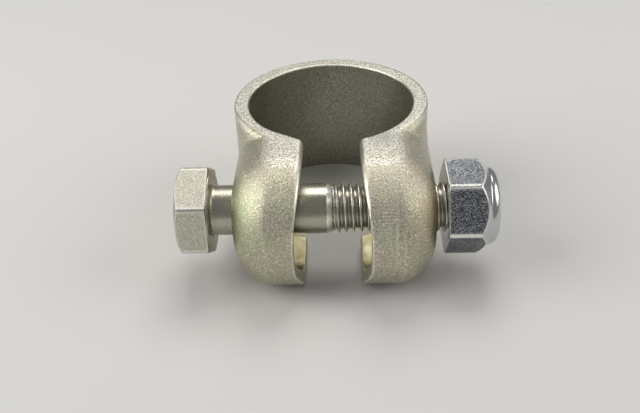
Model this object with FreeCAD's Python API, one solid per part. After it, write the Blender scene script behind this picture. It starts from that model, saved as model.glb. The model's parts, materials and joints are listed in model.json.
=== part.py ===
import FreeCAD, Part
import math
import os
from FreeCAD import Placement, Rotation, Vector

# A pressed steel tube clamp that stands on end, with its cross bolt and lock nut.
# The open band is one piece: a ring with a hollow pocket ear on each side of the gap.
# Millimetres. The tube's axis is Z, the bottom edge is Z = 0 and the gap faces -Y.
# The bolt runs along X through both ears, with its head at -X and the nut at +X.

# Band: the ring that grips the tube.
bore_diameter = 35.0
band_wall = 3.1
band_height = 27.0
rim_bevel = 0.25

# Ears: two halves of one hollow pillow, cut apart by the gap.
left_ear_side = 19.6
right_ear_side = 20.5
ear_reach = 12.8
ear_wall = 3.1
ear_top_radius = 13.0
ear_bottom_radius = 10.5
ear_side_radius = 9.0
gap_width = 11.4
gap_top_width = 9.8
gap_waist_width = 14.8
gap_lip_height = 1.5
lower_flare_height = 8.0
upper_flare_height = 14.0
upper_flare_overrun = 0.5
gap_edge_bevel = 0.4

# Cross bolt: metric coarse thread, modelled at about its pitch diameter.
bolt_diameter = 10.0
bolt_length = 50.0
bolt_shank_length = 24.0
bolt_runout = 1.4
thread_pitch = 1.5
bolt_to_tube_clearance = 0.3
bolt_height = 14.8
bolt_hole_clearance = 0.1
head_width = 16.7
head_height = 6.4
head_washer_diameter = 16.2
head_washer_step = 0.3
head_standoff = 4.06
head_turn = 35.3

# Lock nut: a hexagon whose corners fall away in a cone to a domed collar with a nylon ring.
nut_width = 16.7
nut_height = 10.0
nut_hexagon_height = 8.2
nut_crown_angle = 48.0
nut_collar_wall = 1.2
nut_collar_radius = 1.6
nut_standoff = 1.72
nut_turn = -2.8
nut_thread_clearance = 0.06
insert_height = 2.6
insert_lip_thickness = 0.5
insert_lip_overlap = 0.6
insert_bore = 9.2
insert_outer_diameter = 13.0

# Both hexagons: corners turned down to this diameter, ends chamfered or just broken.
corner_diameter = 19.0
chamfered_end_diameter = 16.2
broken_end_diameter = 18.6
chamfer_angle = 30.0

# How near a point counts as lying on a face.
touch = 0.001

# What the sizes above lead to.
bore_radius = bore_diameter / 2
ring_radius = bore_radius + band_wall
bolt_radius = bolt_diameter / 2
thread_radius = bolt_radius - 0.6495 * thread_pitch / 2
nut_collar_diameter = insert_outer_diameter + 2 * nut_collar_wall
bolt_y = -(bore_radius + bolt_radius + bolt_to_tube_clearance)
ear_front_y = bolt_y - ear_reach
head_face_x = -(left_ear_side + head_standoff)
nut_face_x = right_ear_side + nut_standoff


def on_bolt_axis(shape, start_x, turn):
    """Lay a shape made along Z on the bolt's axis, its front turned up by an angle."""
    to_x = Rotation(Vector(0, 1, 0), 90)
    about_axis = Rotation(Vector(-1, 0, 0), turn)
    place = Placement(Vector(start_x, bolt_y, bolt_height), about_axis.multiply(to_x))
    moved = shape.copy()
    moved.Placement = place.multiply(shape.Placement)
    return moved


def revolved(points):
    """Solid of revolution about Z from points given as (radius, height)."""
    corners = [Vector(radius, 0, height) for radius, height in points]
    face = Part.Face(Part.makePolygon(corners + corners[:1]))
    return face.revolve(Vector(0, 0, 0), Vector(0, 0, 1), 360)


def hexagon(width, height):
    """Hexagonal prism along Z with a corner toward -Y."""
    corner_radius = width / math.sqrt(3)
    corners = []
    for step in range(7):
        angle = math.radians(60 * step - 90)
        corners.append(Vector(corner_radius * math.cos(angle), corner_radius * math.sin(angle), 0))
    return Part.Face(Part.makePolygon(corners)).extrude(Vector(0, 0, height))


def turned_down(prism, low_diameter, high_diameter, high_angle):
    """Turn a hexagon's corners down, with a chamfer to a given diameter at each end."""
    height = prism.BoundBox.ZMax
    corner_radius = corner_diameter / 2
    low_drop = (corner_radius - low_diameter / 2) * math.tan(math.radians(chamfer_angle))
    high_drop = (corner_radius - high_diameter / 2) * math.tan(math.radians(high_angle))
    return prism.common(revolved([
        (0, 0),
        (low_diameter / 2, 0),
        (corner_radius, low_drop),
        (corner_radius, height - high_drop),
        (high_diameter / 2, height),
        (0, height),
    ]))


def pillow(inset):
    """Rounded block of both ears before the gap is cut, or its hollow when inset by a wall."""
    left_x = inset - left_ear_side
    right_x = right_ear_side - inset
    front_y = ear_front_y + inset
    floor_z = inset
    top_z = band_height - inset
    low = ear_bottom_radius - inset
    high = ear_top_radius - inset
    diagonal = math.sqrt(0.5)
    start = Vector(left_x, 0, floor_z)
    low_in = Vector(left_x, front_y + low, floor_z)
    low_mid = Vector(left_x, front_y + low - low * diagonal, floor_z + low - low * diagonal)
    low_out = Vector(left_x, front_y, floor_z + low)
    high_out = Vector(left_x, front_y, top_z - high)
    high_mid = Vector(left_x, front_y + high - high * diagonal, top_z - high + high * diagonal)
    high_in = Vector(left_x, front_y + high, top_z)
    end = Vector(left_x, 0, top_z)
    outline = Part.Wire([
        Part.makeLine(start, low_in),
        Part.Arc(low_in, low_mid, low_out).toShape(),
        Part.makeLine(low_out, high_out),
        Part.Arc(high_out, high_mid, high_in).toShape(),
        Part.makeLine(high_in, end),
        Part.makeLine(end, start),
    ])
    block = Part.Face(outline).extrude(Vector(right_x - left_x, 0, 0))
    side_edges = []
    for edge in block.Edges:
        middle = edge.valueAt((edge.FirstParameter + edge.LastParameter) / 2)
        if min(middle.x - left_x, right_x - middle.x) < touch and middle.y < -touch:
            side_edges.append(edge)
    return block.makeFillet(ear_side_radius - inset, side_edges)


def gap_side(side):
    """Edges of one side of the gap, from below the band to above it."""
    narrow = side * gap_width / 2
    wide = side * gap_waist_width / 2
    flare_end_z = gap_lip_height + lower_flare_height
    flare_top_z = band_height + upper_flare_overrun
    flare_low_z = flare_top_z - upper_flare_height
    lip = Vector(narrow, 0, gap_lip_height)
    waist_low = Vector(wide, 0, flare_end_z)
    waist_high = Vector(wide, 0, flare_low_z)
    top = Vector(side * gap_top_width / 2, 0, flare_top_z)
    lower_middle_z = (lip.z + waist_low.z) / 2
    lower_flare = Part.BezierCurve()
    lower_flare.setPoles([lip, Vector(narrow, 0, lower_middle_z), Vector(wide, 0, lower_middle_z), waist_low])
    upper_flare = Part.BezierCurve()
    upper_flare.setPoles([waist_high, Vector(wide, 0, (waist_high.z + top.z) / 2), top])
    return [
        Part.makeLine(Vector(narrow, 0, -band_wall), lip),
        lower_flare.toShape(),
        Part.makeLine(waist_low, waist_high),
        upper_flare.toShape(),
        Part.makeLine(top, Vector(top.x, 0, band_height + band_wall)),
    ]


def gap_cutter():
    """The slot that parts the ears, barrel-shaped where the pockets were drawn out."""
    half_low = gap_width / 2
    half_top = gap_top_width / 2
    top_z = band_height + band_wall
    below = Part.makeLine(Vector(-half_low, 0, -band_wall), Vector(half_low, 0, -band_wall))
    above = Part.makeLine(Vector(-half_top, 0, top_z), Vector(half_top, 0, top_z))
    edges = gap_side(-1) + gap_side(1) + [below, above]
    outline = Part.Wire(Part.sortEdges(edges)[0])
    return Part.Face(outline).extrude(Vector(0, ear_front_y - band_wall, 0))


def break_gap_edges(body, ears):
    """Bevel the outer edges that the gap leaves on the band and ears."""
    skin = ears.Shells[0]
    edges = []
    for edge in body.Edges:
        middle = edge.valueAt((edge.FirstParameter + edge.LastParameter) / 2)
        beside_gap = abs(middle.x) < gap_waist_width / 2 + touch
        if beside_gap and middle.y < -bore_radius and skin.distToShape(Part.Vertex(middle))[0] < touch:
            edges.append(edge)
    return body.makeChamfer(gap_edge_bevel, edges)


def clamp_band():
    """Ring and ears in one piece, hollow behind the ears."""
    ring = Part.makeCylinder(ring_radius, band_height)
    ears = pillow(0)
    body = ring.fuse(ears).removeSplitter()
    bore = revolved([
        (0, 0),
        (bore_radius + rim_bevel, 0),
        (bore_radius, rim_bevel),
        (bore_radius, band_height - rim_bevel),
        (bore_radius + rim_bevel, band_height),
        (0, band_height),
    ])
    body = body.cut(bore).cut(gap_cutter())
    body = break_gap_edges(body, ears)
    bolt_hole = Part.makeCylinder(bolt_radius + bolt_hole_clearance, nut_face_x - head_face_x)
    return body.cut(pillow(ear_wall)).cut(on_bolt_axis(bolt_hole, head_face_x, 0))


def bolt():
    """Hexagon head, plain shank, run-out and thread, from the head's bearing face."""
    head = hexagon(head_width, head_height - head_washer_step)
    head = turned_down(head, chamfered_end_diameter, broken_end_diameter, chamfer_angle)
    head.translate(Vector(0, 0, -head_height))
    washer_face = Part.makeCylinder(head_washer_diameter / 2, head_washer_step)
    washer_face.translate(Vector(0, 0, -head_washer_step))
    end_chamfer = bolt_radius - thread_radius + thread_pitch / 2
    stem = revolved([
        (0, -head_washer_step),
        (bolt_radius, -head_washer_step),
        (bolt_radius, bolt_shank_length - bolt_runout),
        (thread_radius, bolt_shank_length),
        (thread_radius, bolt_length - end_chamfer),
        (thread_radius - end_chamfer, bolt_length),
        (0, bolt_length),
    ])
    return head.fuse([washer_face, stem]).removeSplitter()


def lock_nut():
    """Nut body from its bearing face, with the seat for the nylon ring in its collar."""
    hexagon_body = hexagon(nut_width, nut_hexagon_height)
    hexagon_body = turned_down(hexagon_body, broken_end_diameter, nut_collar_diameter, nut_crown_angle)
    collar = Part.makeCylinder(nut_collar_diameter / 2, nut_height)
    rim = [edge for edge in collar.Edges if abs(edge.BoundBox.ZMin - nut_height) < touch]
    collar = collar.makeFillet(nut_collar_radius, rim[:1])
    body = hexagon_body.fuse(collar).removeSplitter()
    thread_bore = Part.makeCylinder(thread_radius + nut_thread_clearance, nut_height)
    insert_seat = Part.makeCylinder(insert_outer_diameter / 2, insert_height)
    insert_seat.translate(Vector(0, 0, nut_height - insert_lip_thickness - insert_height))
    lip_opening = Part.makeCylinder(insert_outer_diameter / 2 - insert_lip_overlap, insert_lip_thickness)
    lip_opening.translate(Vector(0, 0, nut_height - insert_lip_thickness))
    return body.cut(thread_bore).cut(insert_seat).cut(lip_opening)


def nylon_insert():
    """Plain nylon ring held in the nut's collar."""
    outer = Part.makeCylinder(insert_outer_diameter / 2, insert_height)
    ring = outer.cut(Part.makeCylinder(insert_bore / 2, insert_height))
    ring.translate(Vector(0, 0, nut_height - insert_lip_thickness - insert_height))
    return ring


os.makedirs("parts", exist_ok=True)
clamp_band().exportStep("parts/clamp_band.step")
on_bolt_axis(bolt(), head_face_x, head_turn).exportStep("parts/hex_bolt.step")
on_bolt_axis(lock_nut(), nut_face_x, nut_turn).exportStep("parts/lock_nut.step")
on_bolt_axis(nylon_insert(), nut_face_x, nut_turn).exportStep("parts/nylon_insert.step")
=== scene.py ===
import json
import math

import bmesh
import bpy
import numpy as np
from mathutils import Matrix, Vector


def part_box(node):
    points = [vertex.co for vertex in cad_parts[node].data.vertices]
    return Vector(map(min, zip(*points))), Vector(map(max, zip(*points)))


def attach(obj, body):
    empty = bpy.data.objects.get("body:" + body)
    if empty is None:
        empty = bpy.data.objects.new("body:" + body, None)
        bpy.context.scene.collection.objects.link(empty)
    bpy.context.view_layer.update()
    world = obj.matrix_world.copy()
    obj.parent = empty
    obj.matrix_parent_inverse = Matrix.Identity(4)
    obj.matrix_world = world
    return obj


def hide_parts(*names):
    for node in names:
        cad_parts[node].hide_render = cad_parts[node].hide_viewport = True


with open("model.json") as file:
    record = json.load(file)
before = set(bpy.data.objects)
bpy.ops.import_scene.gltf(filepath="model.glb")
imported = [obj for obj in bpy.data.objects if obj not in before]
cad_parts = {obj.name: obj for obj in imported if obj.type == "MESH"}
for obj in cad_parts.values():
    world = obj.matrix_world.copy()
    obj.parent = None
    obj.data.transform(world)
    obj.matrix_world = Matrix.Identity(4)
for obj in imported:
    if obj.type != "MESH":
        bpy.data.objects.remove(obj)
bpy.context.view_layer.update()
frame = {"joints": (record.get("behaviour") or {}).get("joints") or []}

# Clamp band: a ring and both hollow ears, pressed in one piece from thick steel sheet. The gap
# parts the ears, which are two halves of one pillow, and each has a punched hole for the bolt.
# The sizes are millimetres, and the mesh is a skin drawn on the field that describes the solid.
bore_radius = 17.5
ring_radius = 20.6
band_height = 27.0
ear_left = -19.6
ear_right = 20.5
ear_front = -35.6
sheet = 3.1
ear_top_round = 13.0
ear_bottom_round = 10.5
ear_side_round = 9.0
face_inset = 0.25
face_fade_top = 6.0
face_fade_bottom = 3.0
face_crease = 0.06
rim_round = 0.2
shoulder_round = 1.6
bore_edge_round = 0.3
gap_edge_round = 0.3
gap_shoulder_round = 1.6
pocket_lip_round = 0.22
waist_fill = 1.2
lip_roll_depth = 0.6
lip_roll_middle = -9.2
lip_roll_width = 3.2
bolt_y = frame["joints"][0]["pos_m"][1] * 1000
bolt_z = frame["joints"][0]["pos_m"][2] * 1000
hole_radius = 5.1
hole_edge_round = 0.3

# Half the gap's width at each height: narrow at the lower lip, wide at the waist, closing again
# in a long curve to the top rim, where the ears were drawn towards each other.
gap_middle = 0.15
gap_half_at_lip = 5.7
gap_half_at_waist = 7.4
gap_half_at_top = 4.9
gap_lip_height = 1.5
waist_bottom = 9.5
waist_top = 13.5
gap_top_height = 27.5
sweep = np.linspace(0, 1, 65)
lip_rise = 1.5 * sweep - 1.5 * sweep**2 + sweep**3
lip_curve_height = gap_lip_height + (waist_bottom - gap_lip_height) * lip_rise
top_curve_height = waist_top + (gap_top_height - waist_top) * sweep
lip_to_waist = 3 * sweep**2 - 2 * sweep**3
lip_curve_half = gap_half_at_lip + (gap_half_at_waist - gap_half_at_lip) * lip_to_waist
top_curve_half = gap_half_at_waist + (gap_half_at_top - gap_half_at_waist) * sweep**2
gap_heights = np.concatenate([[-5.0], lip_curve_height, top_curve_height, [40.0]])
gap_halves = np.concatenate([[gap_half_at_lip], lip_curve_half, top_curve_half, [gap_half_at_top]])


def rounded(a, b, radius):
    """Field of what lies inside both fields, with the edge where they meet rounded."""
    past_corner = np.hypot(np.maximum(a + radius, 0), np.maximum(b + radius, 0))
    return np.minimum(np.maximum(a, b), -radius) + past_corner


def blended(a, b, width):
    """Field of two solids joined, with the inner corner between them filled softly."""
    near = np.maximum(width - np.abs(a - b), 0) / width
    return np.minimum(a, b) - near * near * width / 4


def rising(value, start, length):
    """0 up to a start, rising evenly to 1 over a length."""
    return np.clip((value - start) / length, 0, 1)


def ear_pillow(x, y, z, inset):
    """Field of the rounded block that both ears are cut from, its front flattened by an inset."""
    top = rounded(z - band_height, ear_front - y, ear_top_round)
    bottom = rounded(-z, ear_front - y, ear_bottom_round)
    outline = np.maximum(top, bottom)
    sides = np.abs(x - (ear_left + ear_right) / 2) - (ear_right - ear_left) / 2
    block = rounded(outline, sides, ear_side_round)
    inset = inset * rising(band_height - z, 0, face_fade_top) * rising(z, 0, face_fade_bottom)
    return -blended(-block, -(outline + inset), face_crease)


def band_solid(x, y, z):
    """Field of the whole band: below zero in the steel, above zero in the air."""
    across = np.hypot(x, y)
    ends = np.abs(z - band_height / 2) - band_height / 2
    ring = rounded(across - ring_radius, ends, rim_round + shoulder_round * rising(-y, 3, 9))
    pillow = ear_pillow(x, y, z, face_inset)
    fill = 0.001 + waist_fill * rising(-y, 0, 4) * rising(-ends, 0, 2)
    skin = np.maximum(blended(ring, np.maximum(pillow, y), fill), ends)
    lip_roll = lip_roll_depth * np.exp(-(((x - lip_roll_middle) / lip_roll_width) ** 2))
    lip_roll = lip_roll * (y < 0) * rising(z, 22, 5)
    skin = rounded(skin, bore_radius - lip_roll - across, bore_edge_round)
    gap = np.interp(z, gap_heights, gap_halves) - np.abs(x - gap_middle)
    gap = np.where(y < 0, gap, -ring_radius)
    shoulder = rising(z, 19, 7) ** 2
    skin = rounded(skin, gap, gap_edge_round + (gap_shoulder_round - gap_edge_round) * shoulder)
    pocket = np.maximum(ear_pillow(x, y, z, 0) + sheet, y)
    skin = rounded(skin, -pocket, pocket_lip_round)
    hole = hole_radius - np.hypot(y - bolt_y, z - bolt_z)
    return rounded(skin, hole + 0 * x, hole_edge_round)


def net_over(field, low, high, step):
    """Points and four-sided faces of the surface where a field is zero, one point to each cell of a
    grid that the surface crosses, and one face to each edge of the grid that it cuts."""
    axes = [np.arange(a, b, step) for a, b in zip(low, high)]
    value = field(axes[0][:, None, None], axes[1][None, :, None], axes[2][None, None, :])
    cells = [n - 1 for n in value.shape]
    total = np.zeros(cells + [3])
    count = np.zeros(cells)
    crossings = []
    for axis in range(3):
        first, second = [other for other in range(3) if other != axis]
        before = np.take(value, range(cells[axis]), axis)
        after = np.take(value, range(1, cells[axis] + 1), axis)
        crossed = (before < 0) != (after < 0)
        share = np.where(crossed, before / np.where(crossed, before - after, 1), 0)
        crossings.append((axis, first, second, crossed, before < 0))
        for i in (0, 1):
            for j in (0, 1):
                part = [slice(None)] * 3
                part[first] = slice(i, i + cells[first])
                part[second] = slice(j, j + cells[second])
                here = crossed[tuple(part)]
                total[..., axis] += share[tuple(part)]
                total[..., first] += i * here
                total[..., second] += j * here
                count += here
    used = count > 0
    number = np.cumsum(used).reshape(cells) - 1
    corner = np.argwhere(used)
    points = np.array([a[0] for a in axes]) + step * (corner + total[used] / count[used][:, None])
    faces = []
    for axis, first, second, crossed, steel_before in crossings:
        at = np.argwhere(crossed)
        at = at[(at[:, first] > 0) & (at[:, second] > 0)]
        at = at[(at[:, first] < cells[first]) & (at[:, second] < cells[second])]
        around = []
        for i, j in ((1, 1), (0, 1), (0, 0), (1, 0)):
            cell = at.copy()
            cell[:, first] -= i
            cell[:, second] -= j
            around.append(number[tuple(cell.T)])
        face = np.stack(around, 1)
        outward = steel_before[tuple(at.T)]
        if axis == 1:
            outward = ~outward
        face[~outward] = face[~outward][:, ::-1]
        faces.append(face)
    return points, np.concatenate(faces)


def slope_of(field, points, reach):
    """A field's value, its slope and how sharply it bends, at points."""
    x, y, z = points.T
    value = field(x, y, z)
    slope = np.empty_like(points)
    bend = -6 * value
    for axis in range(3):
        ahead, behind = points.copy(), points.copy()
        ahead[:, axis] += reach
        behind[:, axis] -= reach
        a, b = field(*ahead.T), field(*behind.T)
        slope[:, axis] = (a - b) / (2 * reach)
        bend += a + b
    return value, slope, bend / reach**2


def settled(field, points, faces, rounds):
    """Even out a net's points along the surface, and put each exactly on it."""
    ends = np.concatenate([faces[:, [i, (i + 1) % 4]] for i in range(4)])
    both = np.concatenate([ends, ends[:, ::-1]])
    met = np.bincount(both[:, 0], minlength=len(points))
    for _ in range(rounds):
        total = [np.bincount(both[:, 0], far, len(points)) for far in points[both[:, 1]].T]
        points = points + 0.5 * (np.stack(total, 1) / met[:, None] - points)
        for _ in range(2):
            value, slope, _ = slope_of(field, points, 0.01)
            points = points - slope * (value / np.maximum((slope**2).sum(1), 0.2))[:, None]
    return points


def mesh_piece(name, points, faces, normals=None):
    """Object at the origin from points in millimetres, shaded smooth."""
    mesh = bpy.data.meshes.new(name)
    mesh.from_pydata((points / 1000).tolist(), [], faces)
    mesh.shade_smooth()
    if normals is not None:
        mesh.normals_split_custom_set_from_vertices(normals.tolist())
    piece = bpy.data.objects.new(name, mesh)
    bpy.context.scene.collection.objects.link(piece)
    return piece


def keep_values(piece, name, values):
    """Store one number for each point, for the materials to read."""
    attribute = piece.data.attributes.new(name, "FLOAT", "POINT")
    attribute.data.foreach_set("value", values.astype(np.float32))


net_step = 0.35
net_low, net_high = (-21.5, -36.5, -0.9), (21.6, 21.5, 28.0)
points, faces = net_over(band_solid, net_low, net_high, net_step)
points = settled(band_solid, points, faces, 3)
_, slope, bend = slope_of(band_solid, points, 0.08)
normals = slope / np.linalg.norm(slope, axis=1)[:, None]
band = mesh_piece("band_pressing", points, faces.tolist(), normals)

# What the finish follows: the bore, the pockets, the flat rims, and the edges worn bright, which
# are those that bend sharply. The bore's own mouth is less worn, and its inside not at all.
x, y, z = points.T
from_axis = np.hypot(x, y)
from_rim = band_height / 2 - np.abs(z - band_height / 2)
behind_gap = y > -12
inside_ring = (from_axis < bore_radius + 1.1) & (from_rim > 0.7) & behind_gap
bore_mouth = (from_axis < bore_radius + 0.8) & behind_gap
from_pocket = np.abs(np.maximum(ear_pillow(x, y, z, 0) + sheet, y))
in_pocket = 1 - rising(from_pocket, 0.05, 0.15)
in_bore = rising(-from_axis, -bore_radius - 0.25, 0.2)
in_bore = np.where(inside_ring, np.maximum(in_bore, 1 - in_pocket), in_bore)
worn = rising(bend, 0.35, 1.3) * np.where(bore_mouth, 0.35, 1)
on_rim = rising(np.abs(normals[:, 2]), 0.9, 0.08) * (from_rim < 0.5)
keep_values(band, "burnished_and_sheen", np.where(inside_ring, 0, worn))
keep_values(band, "bore", in_bore)
keep_values(band, "pocket", in_pocket)
keep_values(band, "rim", on_rim)


def joined(tree, start, end):
    """Link one socket of a node tree to another."""
    tree.links.new(start, end)


def worked(tree, operation, *terms):
    """Result of a math node in a tree, fed with sockets or plain numbers."""
    node = tree.nodes.new("ShaderNodeMath")
    node.operation = operation
    for socket, term in zip(node.inputs, terms):
        if isinstance(term, (int, float)):
            socket.default_value = term
        else:
            joined(tree, term, socket)
    return node.outputs[0]


def noise(tree, place, to_the_metre, detail, roughness=0.5):
    """Factor of a noise texture of so many features to the metre."""
    node = tree.nodes.new("ShaderNodeTexNoise")
    node.inputs["Scale"].default_value = to_the_metre
    node.inputs["Detail"].default_value = detail
    node.inputs["Roughness"].default_value = roughness
    joined(tree, place, node.inputs["Vector"])
    return node.outputs["Fac"]


def ramped(tree, factor, stops):
    """Colour of a ramp with the given places and colours."""
    node = tree.nodes.new("ShaderNodeValToRGB")
    while len(node.color_ramp.elements) < len(stops):
        node.color_ramp.elements.new(0.5)
    for element, (place, colour) in zip(node.color_ramp.elements, stops):
        element.position = place
        element.color = (*colour, 1)
    joined(tree, factor, node.inputs["Fac"])
    return node.outputs["Color"]


def mixed(tree, factor, a, b):
    """Colour between a and b."""
    node = tree.nodes.new("ShaderNodeMix")
    node.data_type = "RGBA"
    colours = [socket for socket in node.inputs if socket.type == "RGBA"]
    for socket, term in zip([node.inputs[0], *colours], (factor, a, b)):
        if isinstance(term, (int, float)):
            socket.default_value = term
        elif isinstance(term, tuple):
            socket.default_value = (*term, 1)
        else:
            joined(tree, term, socket)
    return next(socket for socket in node.outputs if socket.type == "RGBA")


def kept_value(tree, name):
    """Number stored at each point of a piece, as a socket."""
    node = tree.nodes.new("ShaderNodeAttribute")
    node.attribute_name = name
    return node.outputs["Fac"]


def plated_steel(name):
    """Material with a plain metal shader, and its tree, its shader and the place on the piece."""
    material = bpy.data.materials.new(name)
    material.use_nodes = True
    tree = material.node_tree
    shader = tree.nodes["Principled BSDF"]
    shader.inputs["Metallic"].default_value = 1.0
    place = tree.nodes.new("ShaderNodeTexCoord").outputs["Object"]
    return material, tree, shader, place


# Zinc grain, shared by all the steel: the fine pits that blasting and plating leave, as a height
# and as light and dark specks, the cloudy change of tone over the plated skin, and painted glints,
# bright specks that stand in for crystals catching the light. All run from 0 to 1.
zinc_grain = bpy.data.node_groups.new("zinc_grain", "ShaderNodeTree")
for socket, kind in (("Place", "NodeSocketVector"), ("Pits to the metre", "NodeSocketFloat")):
    zinc_grain.interface.new_socket(name=socket, in_out="INPUT", socket_type=kind)
for output in ("Height", "Speckle", "Clouds", "Painted glints"):
    zinc_grain.interface.new_socket(name=output, in_out="OUTPUT", socket_type="NodeSocketFloat")
group_in = zinc_grain.nodes.new("NodeGroupInput")
group_out = zinc_grain.nodes.new("NodeGroupOutput")
pits = zinc_grain.nodes.new("ShaderNodeTexNoise")
pits.inputs["Detail"].default_value = 3.0
pits.inputs["Roughness"].default_value = 0.6
joined(zinc_grain, group_in.outputs["Place"], pits.inputs["Vector"])
joined(zinc_grain, group_in.outputs["Pits to the metre"], pits.inputs["Scale"])
joined(zinc_grain, pits.outputs["Fac"], group_out.inputs["Height"])
clouds = noise(zinc_grain, group_in.outputs["Place"], to_the_metre=85.0, detail=2.0)
joined(zinc_grain, clouds, group_out.inputs["Clouds"])
glint_noise = noise(zinc_grain, group_in.outputs["Place"], to_the_metre=3100.0, detail=0.0)
for output, value, dark, light in (
    ("Speckle", pits.outputs["Fac"], 0.42, 0.58),
    ("Painted glints", glint_noise, 0.70, 0.75),
):
    stretched = zinc_grain.nodes.new("ShaderNodeMapRange")
    stretched.inputs["From Min"].default_value = dark
    stretched.inputs["From Max"].default_value = light
    joined(zinc_grain, value, stretched.inputs["Value"])
    joined(zinc_grain, stretched.outputs["Result"], group_out.inputs[output])


def grain_in(tree, place, pits_to_the_metre):
    """Zinc grain placed in a material's tree."""
    node = tree.nodes.new("ShaderNodeGroup")
    node.node_tree = zinc_grain
    node.inputs["Pits to the metre"].default_value = pits_to_the_metre
    joined(tree, place, node.inputs["Place"])
    return node.outputs


def bumped(tree, shader, height, pit_depth):
    """Bump of a given depth in metres on a shader."""
    bump = tree.nodes.new("ShaderNodeBump")
    bump.inputs["Distance"].default_value = pit_depth
    joined(tree, height, bump.inputs["Height"])
    joined(tree, bump.outputs["Normal"], shader.inputs["Normal"])


def shared(tree, mask, share):
    """A mask at a share of its full strength."""
    return worked(tree, "MULTIPLY", mask, share)


def near_to(tree, value, middle, reach):
    """1 where a value is at the middle, falling to 0 at the reach to either side."""
    away = worked(tree, "ABSOLUTE", worked(tree, "SUBTRACT", value, middle))
    return worked(tree, "MAXIMUM", worked(tree, "MULTIPLY_ADD", away, -1 / reach, 1), 0)


def patch_around(tree, place, middle, reach):
    """1 at a point on the piece, falling softly to 0 at the reach around it."""
    away = tree.nodes.new("ShaderNodeVectorMath")
    away.operation = "DISTANCE"
    away.inputs[1].default_value = middle
    joined(tree, place, away.inputs[0])
    soft = tree.nodes.new("ShaderNodeMapRange")
    soft.interpolation_type = "SMOOTHSTEP"
    soft.inputs["From Min"].default_value = reach
    soft.inputs["From Max"].default_value = 0
    joined(tree, away.outputs["Value"], soft.inputs["Value"])
    return soft.outputs["Result"]


# The band's plating: blasted, then zinc plated with a faint green, rose and blue bloom in places.
# The bore is darker, the pockets are smooth and yellowed, and the sheared rims are the most pitted.
material, tree, shader, place = plated_steel("blasted_zinc")
grain = grain_in(tree, place, pits_to_the_metre=3400.0)
speckle = grain["Speckle"]
bright_speck, bare_steel_and_highlight = (0.83, 0.785, 0.625), (0.88, 0.86, 0.77)
green, rose, blue = (0.42, 0.53, 0.25), (0.53, 0.39, 0.22), (0.30, 0.325, 0.345)
bore_sheen_grey = (0.86, 0.87, 0.76)
tone = ramped(tree, grain["Clouds"], [
    (0.36, (0.370, 0.330, 0.255)),
    (0.44, (0.370, 0.376, 0.258)),
    (0.52, (0.380, 0.356, 0.275)),
    (0.60, (0.405, 0.346, 0.275)),
    (0.68, (0.350, 0.346, 0.295)),
])
green_tint = patch_around(tree, place, middle=(-0.0178, -0.0293, 0.0180), reach=0.0105)
tone = mixed(tree, shared(tree, green_tint, 0.9), tone, green)
rosy_tint = patch_around(tree, place, middle=(0.0190, -0.0295, 0.0180), reach=0.0085)
tone = mixed(tree, shared(tree, rosy_tint, 0.8), tone, rose)
tone = mixed(tree, shared(tree, speckle, 0.62), tone, bright_speck)
bore_grain = shared(tree, worked(tree, "ADD", speckle, grain["Clouds"]), 0.5)
bore_tone = ramped(tree, bore_grain, [
    (0.25, (0.31, 0.305, 0.245)),
    (0.50, (0.44, 0.43, 0.355)),
    (0.75, (0.58, 0.57, 0.48)),
])
# The pale patch on the back of the bore, towards its upper right, is a painted sheen.
painted_bore_sheen = patch_around(tree, place, middle=(0.0090, 0.0140, 0.0215), reach=0.022)
painted_bore_sheen = worked(tree, "MULTIPLY", painted_bore_sheen, worked(tree, "MULTIPLY_ADD", speckle, 0.8, 0.25))
bore_tone = mixed(tree, painted_bore_sheen, bore_tone, bore_sheen_grey)
in_bore = kept_value(tree, "bore")
tone = mixed(tree, in_bore, tone, bore_tone)
stains = noise(tree, place, to_the_metre=330.0, detail=4.0, roughness=0.6)
pocket_tone = ramped(tree, stains, [
    (0.36, (0.25, 0.22, 0.115)),
    (0.50, (0.34, 0.305, 0.17)),
    (0.64, (0.47, 0.445, 0.31)),
])
in_pocket = kept_value(tree, "pocket")
tone = mixed(tree, in_pocket, tone, pocket_tone)
rim_tone = ramped(tree, speckle, [
    (0.05, (0.34, 0.32, 0.26)),
    (0.50, (0.72, 0.70, 0.61)),
    (0.95, (0.98, 0.95, 0.86)),
])
tone = mixed(tree, shared(tree, kept_value(tree, "rim"), 0.9), tone, rim_tone)
blue_tint = patch_around(tree, place, middle=(0.0105, -0.0163, 0.0266), reach=0.0050)
tone = mixed(tree, shared(tree, blue_tint, 0.55), tone, blue)

# The die drew fine lines across the front of the right ear, and a faint ridge beside them. The
# lines run level, one above the other, and the ridge stands upright.
line_spacing, line_middle, line_reach = 0.00056, (0.0103, 0.0190), (0.0026, 0.0070)
ridge_middle, ridge_reach = (0.0122, 0.0170), (0.00035, 0.0100)
front_depth = -0.026
spot = tree.nodes.new("ShaderNodeSeparateXYZ")
joined(tree, place, spot.inputs[0])
on_front = worked(tree, "LESS_THAN", spot.outputs["Y"], front_depth)
lines = worked(tree, "MULTIPLY", spot.outputs["Z"], 2 * math.pi / line_spacing)
lines = worked(tree, "MAXIMUM", worked(tree, "SINE", lines), 0)
lines = worked(tree, "MULTIPLY", lines, on_front)
ridge = on_front
for axis, name in enumerate("XZ"):
    there = near_to(tree, spot.outputs[name], line_middle[axis], line_reach[axis])
    lines = worked(tree, "MULTIPLY", lines, there)
    there = near_to(tree, spot.outputs[name], ridge_middle[axis], ridge_reach[axis])
    ridge = worked(tree, "MULTIPLY", ridge, there)
marks = worked(tree, "MAXIMUM", lines, ridge)
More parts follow.
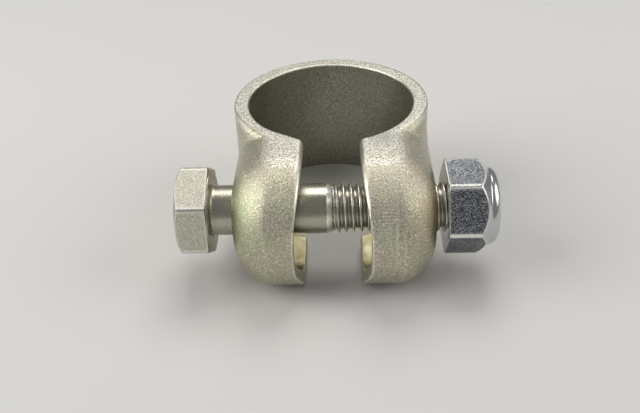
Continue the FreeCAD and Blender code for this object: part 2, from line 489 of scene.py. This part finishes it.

# Painted glints, bright specks that stand in for crystals catching the light, lie all over the
# outside, and the worn edges and the die's marks are bright. Worn and pressed surfaces are
# smoother than the blasted ones.
bare = worked(tree, "MAXIMUM", in_bore, in_pocket)
painted_glints = worked(tree, "MULTIPLY", grain["Painted glints"], worked(tree, "SUBTRACT", 1.0, bare))
burnished_and_sheen = kept_value(tree, "burnished_and_sheen")
wear_and_highlights = worked(tree, "MAXIMUM", painted_glints, shared(tree, marks, 0.55))
wear_and_highlights = worked(tree, "MAXIMUM", burnished_and_sheen, wear_and_highlights)
tone = mixed(tree, wear_and_highlights, tone, bare_steel_and_highlight)
joined(tree, tone, shader.inputs["Base Color"])
smooth = worked(tree, "MAXIMUM", burnished_and_sheen, in_pocket)
smooth = worked(tree, "MAXIMUM", smooth, shared(tree, in_bore, 0.5))
rough = worked(tree, "SUBTRACT", 0.34, shared(tree, smooth, 0.08))
rough = worked(tree, "ADD", rough, shared(tree, grain["Clouds"], 0.1))
joined(tree, rough, shader.inputs["Roughness"])
depth = worked(tree, "MULTIPLY_ADD", smooth, -0.7, 1.0)
relief = worked(tree, "MULTIPLY_ADD", marks, 0.4, worked(tree, "MULTIPLY", grain["Height"], depth))
bumped(tree, shader, relief, pit_depth=0.00016)
band.data.materials.append(material)
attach(band, "clamp")
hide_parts("clamp_band")

# Cross bolt: a metric M10 hexagon bolt with a forged head, a plain shank and a rolled thread,
# bright zinc plated. The head's corners are turned down, and a thin washer face is under it.
# A helical net in a node tree makes the thread, so that its crests run on without a step.
bolt_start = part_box("hex_bolt")[0].x * 1000
bolt_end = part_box("hex_bolt")[1].x * 1000
head_height = 6.4
head_turn = 35.3
across_flats = 16.7
corner_radius = 9.5
face_radius = 8.1
face_edge = 0.05
die_line_place = 3.9
under_head = 6.1
shank_radius = 5.0
shank_length = 22.7
fillet_radius = 0.65
thread_crest = 4.96
thread_root = 4.1
thread_pitch = 1.5
thread_sides = 128
tip_radius = 3.9
corner_wear = 0.14
edge_wear = 0.15
edge_round = 0.08
neck = bolt_start + head_height
thread_start = neck + shank_length


def flats_at(angles, turn):
    """Distance from a hexagon's axis to its flats, at each angle about X."""
    within = (np.degrees(angles) + turn) % 60 - 30
    return across_flats / 2 / np.cos(np.radians(within))


def turned_rings(stations, sides, turn=None, plain_end=None):
    """Rings of points about the bolt's axis through (x, radius) stations, trimmed to a hexagon's
    flats if it has a turn. Each point also has how near it lies to one of the hexagon's edges,
    and 1 where it is on a turned surface or 0 where it is on a flat."""
    angles = np.arange(sides) * 2 * math.pi / sides
    rings = []
    for x, radius in stations:
        across = np.full(sides, float(radius))
        near = np.zeros(sides)
        lathe = np.ones(sides)
        if turn is not None:
            flats = flats_at(angles, turn)
            lathe = (flats > radius) * 1.0
            near = np.exp(-(((flats - radius) / corner_wear) ** 2))
            end_wear = math.exp(-(((x - plain_end) / edge_wear) ** 2))
            near = np.maximum(near, (1 - lathe) * end_wear)
            across = blended(across, flats, edge_round)
        x = np.full(sides, x)
        y, z = bolt_y + across * np.cos(angles), bolt_z + across * np.sin(angles)
        rings.append(np.stack([x, y, z, near, lathe], 1))
    return rings


def ring_faces(count, sides, closed):
    """Four-sided faces from each ring to the next, and from the last to the first if closed."""
    faces = []
    for row in range(count if closed else count - 1):
        a, b = row * sides, (row + 1) % count * sides
        faces += [(a + i, a + (i + 1) % sides, b + (i + 1) % sides, b + i) for i in range(sides)]
    return faces


def number_inputs(tree, names, kind="NodeSocketFloat"):
    """Add named inputs to a node tree."""
    for name in names:
        tree.interface.new_socket(name=name, in_out="INPUT", socket_type=kind)


thread = bpy.data.node_groups.new("helical_thread", "GeometryNodeTree")
number_inputs(thread, ("Crest", "Root", "Least radius", "Pitch", "Crest place", "Start", "End"))
number_inputs(thread, ("Fade", "Shank radius", "Fade radius", "Tip radius", "Mouth radius"))
number_inputs(thread, ("Sides",), "NodeSocketInt")
number_inputs(thread, ("Axis",), "NodeSocketVector")
number_inputs(thread, ("Metal",), "NodeSocketMaterial")
thread.interface.new_socket(name="Geometry", in_out="OUTPUT", socket_type="NodeSocketGeometry")
given = thread.nodes.new("NodeGroupInput").outputs

# The net is a flat grid first: its rows run along the thread and its columns around it. It starts
# a lap or two before the thread does, so that the first crest falls on its place.
rows_to_pitch = 16
laps_before = worked(thread, "SUBTRACT", given["Start"], given["Crest place"])
laps_before = worked(thread, "FLOOR", worked(thread, "DIVIDE", laps_before, given["Pitch"]))
laps_before = worked(thread, "SUBTRACT", laps_before, 1)
base = worked(thread, "MULTIPLY_ADD", laps_before, given["Pitch"], given["Crest place"])
rows = worked(thread, "DIVIDE", worked(thread, "SUBTRACT", given["End"], base), given["Pitch"])
rows = worked(thread, "CEIL", worked(thread, "MULTIPLY", rows, rows_to_pitch))
grid = thread.nodes.new("GeometryNodeMeshGrid")
joined(thread, worked(thread, "ADD", rows, 1), grid.inputs["Vertices X"])
joined(thread, worked(thread, "ADD", given["Sides"], 1), grid.inputs["Vertices Y"])
grid.inputs["Size X"].default_value = 1.0
grid.inputs["Size Y"].default_value = 1.0
spot = thread.nodes.new("ShaderNodeSeparateXYZ")
joined(thread, thread.nodes.new("GeometryNodeInputPosition").outputs[0], spot.inputs[0])
row = worked(thread, "MULTIPLY", worked(thread, "ADD", spot.outputs["X"], 0.5), rows)
row = worked(thread, "ROUND", row)
lap = worked(thread, "ADD", spot.outputs["Y"], 0.5)
laps = worked(thread, "MULTIPLY_ADD", row, 1 / rows_to_pitch, lap)
along = worked(thread, "MULTIPLY_ADD", laps, given["Pitch"], base)
along = worked(thread, "MINIMUM", worked(thread, "MAXIMUM", along, given["Start"]), given["End"])
from_start = worked(thread, "SUBTRACT", along, given["Start"])
to_end = worked(thread, "SUBTRACT", given["End"], along)

# The full thread has a flat crest of an eighth of the pitch, a flat root of a quarter of it, and
# straight flanks between them.
flank_share = 0.625
from_crest = worked(thread, "PINGPONG", worked(thread, "MULTIPLY", row, 2 / rows_to_pitch), 1.0)
flank = worked(thread, "MULTIPLY_ADD", from_crest, 1 / flank_share, -0.2)
flank = worked(thread, "MINIMUM", worked(thread, "MAXIMUM", flank, 0), 1)
groove = worked(thread, "SUBTRACT", given["Crest"], given["Root"])
groove = worked(thread, "MULTIPLY", flank, groove)
full = worked(thread, "SUBTRACT", given["Crest"], groove)
full = worked(thread, "MAXIMUM", full, given["Least radius"])

# Over the fade it rises out of a cone that leads on from the shank. The tip is bevelled at 45
# degrees, and the mouths of a nut are countersunk at 60 degrees to the axis.
mouth_slope = 1.73
past_start = worked(thread, "DIVIDE", from_start, given["Fade"])
taper = worked(thread, "SUBTRACT", given["Fade radius"], given["Shank radius"])
cone = worked(thread, "MULTIPLY", worked(thread, "MINIMUM", past_start, 1), taper)
cone = worked(thread, "ADD", cone, given["Shank radius"])
share = worked(thread, "MAXIMUM", worked(thread, "SUBTRACT", past_start, 0.7), 0)
share = worked(thread, "MINIMUM", share, 1)
radius = worked(thread, "MULTIPLY_ADD", share, worked(thread, "SUBTRACT", full, cone), cone)
radius = worked(thread, "MINIMUM", radius, worked(thread, "ADD", given["Tip radius"], to_end))
for inward in (from_start, to_end):
    mouth = worked(thread, "MULTIPLY_ADD", inward, -mouth_slope, given["Mouth radius"])
    radius = worked(thread, "MAXIMUM", radius, mouth)

# Each point is then wound about the axis, the seam is closed and the metal is put on.
seam_reach = 0.002
angle = worked(thread, "MULTIPLY", lap, 2 * math.pi)
place = thread.nodes.new("ShaderNodeCombineXYZ")
joined(thread, along, place.inputs["X"])
for name, share_of_radius in (("Y", "COSINE"), ("Z", "SINE")):
    across = worked(thread, "MULTIPLY", radius, worked(thread, share_of_radius, angle))
    joined(thread, across, place.inputs[name])
centred = thread.nodes.new("ShaderNodeVectorMath")
joined(thread, place.outputs[0], centred.inputs[0])
joined(thread, given["Axis"], centred.inputs[1])
wound = thread.nodes.new("GeometryNodeSetPosition")
joined(thread, grid.outputs["Mesh"], wound.inputs["Geometry"])
joined(thread, centred.outputs[0], wound.inputs["Position"])
closed = thread.nodes.new("GeometryNodeMergeByDistance")
joined(thread, wound.outputs["Geometry"], closed.inputs["Geometry"])
closed.inputs["Distance"].default_value = seam_reach
realized = thread.nodes.new("GeometryNodeRealizeInstances")
joined(thread, closed.outputs["Geometry"], realized.inputs["Geometry"])
coated = thread.nodes.new("GeometryNodeSetMaterial")
joined(thread, realized.outputs["Geometry"], coated.inputs["Geometry"])
joined(thread, given["Metal"], coated.inputs["Material"])
joined(thread, coated.outputs["Geometry"], thread.nodes.new("NodeGroupOutput").inputs["Geometry"])


def thread_net(**sizes):
    """Points and faces of a thread made by the node tree, its crests painted bright as a highlight.
    """
    blank = bpy.data.objects.new("thread_blank", bpy.data.meshes.new("thread_blank"))
    bpy.context.scene.collection.objects.link(blank)
    modifier = blank.modifiers.new("thread", "NODES")
    modifier.node_group = thread
    inputs = [item for item in thread.interface.items_tree if item.in_out == "INPUT"]
    sockets = {item.name: item.identifier for item in inputs}
    for name, value in sizes.items():
        modifier[sockets[name.replace("_", " ")]] = value
    evaluated = blank.evaluated_get(bpy.context.evaluated_depsgraph_get())
    mesh = bpy.data.meshes.new_from_object(evaluated)
    blank.modifiers.remove(modifier)
    bpy.data.objects.remove(blank)
    points = np.zeros((len(mesh.vertices), 5))
    points[:, :3] = [v.co for v in mesh.vertices]
    reach = np.hypot(points[:, 1] - bolt_y, points[:, 2] - bolt_z)
    # The crests are painted bright: a painted highlight, stored with the edges' wear.
    points[:, 3] = rising(reach, reach.max() - 0.25, 0.2)
    points[:, 4] = 1
    return points, [tuple(face.vertices) for face in mesh.polygons]


def welded_piece(name, *nets):
    """One object from nets, welded where their end rings meet, with the edges' wear and the crests'
    painted highlight kept.
    """
    points = np.concatenate([net[0] for net in nets])
    faces = []
    passed = 0
    for net_points, net_faces in nets:
        faces += [tuple(i + passed for i in face) for face in net_faces]
        passed += len(net_points)
    piece = mesh_piece(name, points[:, :3], faces)
    keep_values(piece, "burnished_and_sheen", points[:, 3])
    keep_values(piece, "turned", points[:, 4])
    form = bmesh.new()
    form.from_mesh(piece.data)
    bmesh.ops.remove_doubles(form, verts=form.verts, dist=2e-6)
    bmesh.ops.dissolve_degenerate(form, edges=form.edges, dist=5e-7)
    bmesh.ops.recalc_face_normals(form, faces=form.faces)
    form.to_mesh(piece.data)
    form.free()
    piece.data.shade_smooth()
    return piece


def turned_net(stations, sides, turn=None, plain_end=None, closed=False):
    """Points and faces of a turned form through (x, radius) stations."""
    rings = turned_rings(stations, sides, turn, plain_end)
    return np.concatenate(rings), ring_faces(len(rings), sides, closed)


def cone_stations(start_x, start_radius, end_x, end_radius, count):
    """Evenly spaced stations from one to the other."""
    places = np.linspace(start_x, end_x, count)
    return list(zip(places, np.linspace(start_radius, end_radius, count)))


def moved_on(stations, x):
    """The stations shifted along the axis."""
    return [(x + place, radius) for place, radius in stations]


# The bolt's plating: the flats grainy, the turned faces and the shank smooth, a faint line where
# the dies met, the thread painted light as a highlight, and its grooves darkened, partly grime and
# partly painted shade.
bolt_zinc, tree, shader, place = plated_steel("bright_zinc")
bright_speck, painted_thread_highlight = (0.80, 0.78, 0.70), (0.84, 0.82, 0.74)
groove_grime_and_shade, bare_steel_and_highlight = (0.17, 0.155, 0.12), (0.92, 0.90, 0.83)
grain = grain_in(tree, place, pits_to_the_metre=4200.0)
tone = ramped(tree, grain["Clouds"], [
    (0.35, (0.40, 0.385, 0.32)),
    (0.50, (0.44, 0.425, 0.335)),
    (0.65, (0.42, 0.395, 0.34)),
])
flat = worked(tree, "SUBTRACT", 1.0, kept_value(tree, "turned"))
specks = worked(tree, "MULTIPLY_ADD", flat, 0.6, 0.15)
specks = worked(tree, "MULTIPLY", grain["Speckle"], specks)
tone = mixed(tree, specks, tone, bright_speck)
spot = tree.nodes.new("ShaderNodeSeparateXYZ")
joined(tree, place, spot.inputs[0])
die_line_x, die_line_half = (bolt_start + die_line_place) / 1000, 0.00016
die_line = worked(tree, "COMPARE", spot.outputs["X"], die_line_x, die_line_half)
die_line = worked(tree, "MULTIPLY", die_line, shared(tree, grain["Speckle"], 0.35))
# The thread is lightened all over: a painted highlight.
on_thread = worked(tree, "GREATER_THAN", spot.outputs["X"], thread_start / 1000)
tone = mixed(tree, shared(tree, on_thread, 0.55), tone, painted_thread_highlight)
from_axis = tree.nodes.new("ShaderNodeVectorMath")
from_axis.operation = "LENGTH"
in_section = tree.nodes.new("ShaderNodeCombineXYZ")
joined(tree, worked(tree, "SUBTRACT", spot.outputs["Y"], bolt_y / 1000), in_section.inputs["Y"])
joined(tree, worked(tree, "SUBTRACT", spot.outputs["Z"], bolt_z / 1000), in_section.inputs["Z"])
joined(tree, in_section.outputs[0], from_axis.inputs[0])
# The thread's grooves are darkened: partly grime, partly painted shade.
in_groove = near_to(tree, from_axis.outputs["Value"], middle=thread_root / 1000, reach=0.0004)
in_groove = worked(tree, "MULTIPLY", in_groove, shared(tree, on_thread, 0.6))
tone = mixed(tree, in_groove, tone, groove_grime_and_shade)
wear_and_highlights = worked(tree, "MAXIMUM", die_line, kept_value(tree, "burnished_and_sheen"))
tone = mixed(tree, wear_and_highlights, tone, bare_steel_and_highlight)
joined(tree, tone, shader.inputs["Base Color"])
rough = worked(tree, "MULTIPLY_ADD", flat, 0.14, 0.26)
rough = worked(tree, "MULTIPLY_ADD", grain["Speckle"], 0.06, rough)
joined(tree, rough, shader.inputs["Roughness"])
depth = worked(tree, "MULTIPLY_ADD", flat, 0.8, 0.2)
bumped(tree, shader, worked(tree, "MULTIPLY", grain["Height"], depth), pit_depth=0.00009)

# The form, from the head's end face to the tip: the face with its chamfer, the six corners, the
# washer face under them, the fillet under the head, the shank, the thread and the flat tip.
chamfer_rise = (corner_radius - face_radius) * math.tan(math.radians(30))
chamfer_end = face_edge + chamfer_rise
head_stations = [(0, 0), (0, 3), (0, 6), (0, 7.7), (0, 8.0), (0.02, 8.08)]
head_stations += cone_stations(face_edge, face_radius + 0.02, chamfer_end, corner_radius, 16)
head_stations += [(x, corner_radius) for x in (0.92, 1.1, 3.0, 5.6, 5.85, 5.98)]
head_stations += [(6.05, 9.4), (under_head, 9.3), (under_head, 8.9), (under_head, 8.3)]
head_stations += [(6.11, 8.15), (6.14, face_radius), (6.33, face_radius), (6.38, 8.07)]
head_stations += [(head_height, radius) for radius in (8.0, 7.6, 6.5, 0)]
head_net = turned_net(moved_on(head_stations, bolt_start), 360, head_turn, bolt_start + under_head)

quarter = np.radians(np.arange(0, 91, 15))
fillet_middle = shank_radius + fillet_radius
shank_stations = [(-0.3, 0), (-0.3, 5.7)]
shank_stations += [
    (fillet_radius - fillet_radius * math.cos(a), fillet_middle - fillet_radius * math.sin(a))
    for a in quarter
]
shank_places = (0.75, 2.0, 11.0, 20.0, shank_length - 0.3, shank_length - 0.1, shank_length)
shank_stations += [(x, shank_radius) for x in shank_places]
shank_net = turned_net(moved_on(shank_stations, neck), thread_sides)

crest_place = thread_start - 0.1
bolt_thread = thread_net(
    Crest=thread_crest, Root=thread_root, Least_radius=0.0, Pitch=thread_pitch,
    Crest_place=crest_place, Start=thread_start, End=bolt_end,
    Fade=1.4, Shank_radius=shank_radius, Fade_radius=4.5, Tip_radius=tip_radius,
    Mouth_radius=0.0, Sides=thread_sides, Axis=(0, bolt_y, bolt_z), Metal=bolt_zinc,
)
tip_net = turned_net([(bolt_end, tip_radius), (bolt_end, 3.2), (bolt_end, 0)], thread_sides)
bolt = welded_piece("cross_bolt", head_net, shank_net, bolt_thread, tip_net)
bolt.data.materials.append(bolt_zinc)
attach(bolt, "bolt")
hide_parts("hex_bolt")

# Lock nut: a hexagon with a domed collar rolled in over a nylon ring, blue-white zinc plated.
# The faces are grainy, the turned corners and the collar are bright. Its thread is the bolt's
# own, a little wider, and in step with it, so that the two run in each other.
nut_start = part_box("lock_nut")[0].x * 1000
nut_turn = -2.8
nut_sides = 240
nut_face_edge = 9.2
hexagon_height = 8.2
crown_slope = math.tan(math.radians(48))
seat_floor = 6.9
collar_radius = 7.7
seat_radius = 6.5
dome_start = 8.4
dome_round = 1.6
nut_mouth_radius = 5.25
running_clearance = 0.08

# The nut's plating: grain on the flats, whose near-black tone is a painted dark reflection, and a
# light blue-grey on all that was turned.
nut_zinc, tree, shader, place = plated_steel("blue_white_zinc")
bright_speck, turned_steel = (0.62, 0.64, 0.66), (0.56, 0.575, 0.58)
bare_steel_and_highlight = (0.90, 0.89, 0.84)
turned = kept_value(tree, "turned")
grain = grain_in(tree, place, pits_to_the_metre=4000.0)
# The flats are painted nearly black: a painted dark reflection.
tone = ramped(tree, grain["Clouds"], [
    (0.35, (0.055, 0.063, 0.075)),
    (0.60, (0.085, 0.095, 0.108)),
])
specks = shared(tree, worked(tree, "POWER", grain["Speckle"], 2.2), 0.78)
tone = mixed(tree, specks, tone, bright_speck)
tone = mixed(tree, turned, tone, turned_steel)
tone = mixed(tree, kept_value(tree, "burnished_and_sheen"), tone, bare_steel_and_highlight)
joined(tree, tone, shader.inputs["Base Color"])
joined(tree, worked(tree, "MULTIPLY_ADD", turned, -0.12, 0.3), shader.inputs["Roughness"])
depth = worked(tree, "MULTIPLY_ADD", turned, -0.85, 1.0)
bumped(tree, shader, worked(tree, "MULTIPLY", grain["Height"], depth), pit_depth=0.00012)

# The form, from the mouth out over the face, the corners and the crown, up the dome and back in
# to the seat of the nylon ring.
crown_start = hexagon_height - (corner_radius - collar_radius) * crown_slope
crown_end = hexagon_height - 0.15
nut_stations = [(0, radius) for radius in (nut_mouth_radius, 6.5, 8.0, 8.3, nut_face_edge)]
nut_stations += [(0.02, nut_face_edge + 0.12)]
nut_stations += [(x, corner_radius) for x in (0.1, 0.25, 0.5, 3.0, crown_start - 0.5)]
nut_stations += cone_stations(crown_start, corner_radius, crown_end, collar_radius + 0.13, 30)
nut_stations += [(hexagon_height - 0.05, collar_radius + 0.05)]
nut_stations += [(hexagon_height + 0.05, collar_radius + 0.01)]
dome = np.radians(np.arange(0, 85, 7))
dome_middle = collar_radius - dome_round
nut_stations += [
    (dome_start + dome_round * math.sin(a), dome_middle + dome_round * math.cos(a))
    for a in dome
]
nut_stations += [(9.99, 6.0), (9.95, 5.93), (9.6, 5.91), (9.5, 6.0), (9.5, 6.4)]
nut_stations += [(x, seat_radius) for x in (9.45, 9.2, 7.1, 6.95)]
nut_stations += [(seat_floor, 6.4), (seat_floor, nut_mouth_radius)]
nut_net = turned_net(moved_on(nut_stations, nut_start), nut_sides, nut_turn, nut_start)

nut_thread = thread_net(
    Crest=thread_crest + running_clearance, Root=thread_root + 0.07, Least_radius=4.19,
    Pitch=thread_pitch, Crest_place=crest_place, Start=nut_start, End=nut_start + seat_floor,
    Fade=0.001, Shank_radius=nut_mouth_radius, Fade_radius=nut_mouth_radius, Tip_radius=99.0,
    Mouth_radius=nut_mouth_radius, Sides=nut_sides, Axis=(0, bolt_y, bolt_z), Metal=nut_zinc,
)
nut = welded_piece("nut_body", nut_net, nut_thread)
nut.data.materials.append(nut_zinc)
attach(nut, "nut")
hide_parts("lock_nut")

# Nylon ring: turned from natural nylon and held in the collar, where the bolt's thread bites
# into it once the nut is driven home. It is smooth and off-white.
nylon_stations = [(6.92, 4.75), (6.92, 6.2), (7.05, 6.45), (9.3, 6.45), (9.45, 6.3), (9.47, 5.5)]
nylon_stations += [(9.42, 4.9), (9.3, 4.68), (9.1, 4.6), (7.2, 4.6), (7.02, 4.65)]
nylon_sides = 96
nylon_net = turned_net(moved_on(nylon_stations, nut_start), nylon_sides, closed=True)
nylon = welded_piece("nylon_ring", nylon_net)
material = bpy.data.materials.new("natural_nylon")
material.use_nodes = True
tree = material.node_tree
shader = tree.nodes["Principled BSDF"]
place = tree.nodes.new("ShaderNodeTexCoord").outputs["Object"]
tone = ramped(tree, noise(tree, place, to_the_metre=300.0, detail=3.0), [
    (0.35, (0.78, 0.77, 0.71)),
    (0.65, (0.84, 0.83, 0.78)),
])
joined(tree, tone, shader.inputs["Base Color"])
shader.inputs["Roughness"].default_value = 0.38
tool_marks = noise(tree, place, to_the_metre=2500.0, detail=2.0)
bumped(tree, shader, tool_marks, pit_depth=0.00002)
nylon.data.materials.append(material)
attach(nylon, "nut")
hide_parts("nylon_insert")

# Studio: a plain pale floor, a dim even room, three soft lamps from above and a camera at the
# photograph's angle.
floor_reach, floor_height = 2, -0.00003
corners = ((-1, -1), (1, -1), (1, 1), (-1, 1))
floor_points = [(x * floor_reach, y * floor_reach, floor_height) for x, y in corners]
floor_mesh = bpy.data.meshes.new("floor")
floor_mesh.from_pydata(floor_points, [], [(0, 1, 2, 3)])
floor = bpy.data.objects.new("floor", floor_mesh)
bpy.context.scene.collection.objects.link(floor)
material = bpy.data.materials.new("pale_floor")
material.use_nodes = True
shader = material.node_tree.nodes["Principled BSDF"]
shader.inputs["Base Color"].default_value = (0.60, 0.595, 0.585, 1)
shader.inputs["Roughness"].default_value = 0.9
floor_mesh.materials.append(material)

world = bpy.data.worlds.new("soft_room")
bpy.context.scene.world = world
world.use_nodes = True
background = world.node_tree.nodes["Background"]
background.inputs["Color"].default_value = (0.80, 0.81, 0.82, 1)
background.inputs["Strength"].default_value = 0.32


def lamp(name, place, aim, size, power, colour):
    """A round soft lamp that faces a point."""
    light = bpy.data.lights.new(name, "AREA")
    light.shape = "DISK"
    light.size = size
    light.energy = power
    light.color = colour
    holder = bpy.data.objects.new(name, light)
    holder.location = place
    holder.rotation_euler = (Vector(aim) - Vector(place)).to_track_quat("-Z", "Y").to_euler()
    bpy.context.scene.collection.objects.link(holder)


lamp("lamp_behind", (0.04, 0.27, 0.51), (0, -0.01, 0), 0.36, 1.4, (1.0, 0.97, 0.93))
lamp("lamp_left", (-0.42, -0.10, 0.30), (0, -0.01, 0.01), 0.44, 1.9, (1.0, 0.99, 0.95))
lamp("lamp_right", (0.45, -0.05, 0.30), (0, -0.01, 0.01), 0.42, 1.1, (1.0, 0.98, 0.94))

# The camera, as it was fitted to the photograph: its place in metres, its three turns, and its
# focal length in pixels of a picture 640 wide.
camera = bpy.data.objects.new("camera", bpy.data.cameras.new("camera"))
bpy.context.scene.collection.objects.link(camera)
bpy.context.scene.camera = camera
eye = (0.0022016, -0.1511481, 0.1052057)
pan, tilt, roll = math.radians(-2.034), math.radians(35.018), math.radians(-2.186)
focal_pixels, picture_width, sensor_width = 788.831, 640, 36.0
ahead = Vector((math.sin(pan) * math.cos(tilt), math.cos(pan) * math.cos(tilt), -math.sin(tilt)))
level = Vector((math.cos(pan), -math.sin(pan), 0))
above = level.cross(ahead)
side = math.cos(roll) * level + math.sin(roll) * above
top = math.cos(roll) * above - math.sin(roll) * level
facing = Matrix((side, top, -ahead)).transposed().to_4x4()
camera.matrix_world = Matrix.Translation(eye) @ facing
camera.data.sensor_width = sensor_width
camera.data.lens = sensor_width * focal_pixels / picture_width
camera.data.clip_start = 0.01
bpy.context.scene.view_settings.view_transform = "Standard"
